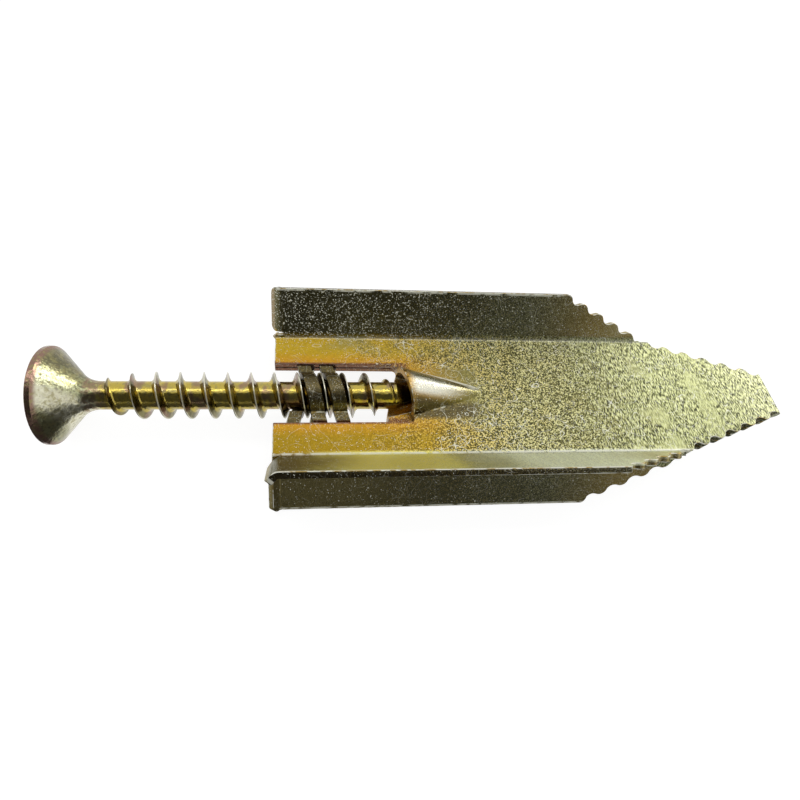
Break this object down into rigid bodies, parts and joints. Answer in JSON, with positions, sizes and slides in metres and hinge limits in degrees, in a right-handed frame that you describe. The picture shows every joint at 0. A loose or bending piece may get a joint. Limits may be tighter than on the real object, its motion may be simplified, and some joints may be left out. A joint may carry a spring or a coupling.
{
  "type": "plasterboard anchor",
  "caption": "Self-drilling sheet-metal plasterboard anchor with flanged serrated legs and a countersunk screw started in it.",
  "frame": {"origin": "on the screw's axis, halfway between the screw's head face and the anchor's folded point, which is the centre of the bounding box", "axes": "+X along the screw from its head to the anchor's point, +Z square to the two back-to-back plates, +Y across them"},
  "size_m": [0.0734, 0.0208, 0.0092],
  "materials": {
    "plated_sheet": "satin",
    "plated_screw": "satin"
  },
  "bodies": {
    "anchor": {"anchor_body": "plated_sheet"},
    "screw": {"screw": "plated_screw"}
  },
  "joints": [
    {"name": "screw_travel", "type": "slide", "parent": "anchor", "child": "screw", "axis": [1, 0, 0], "range_m": [-0.0264, 0]}
  ]
}
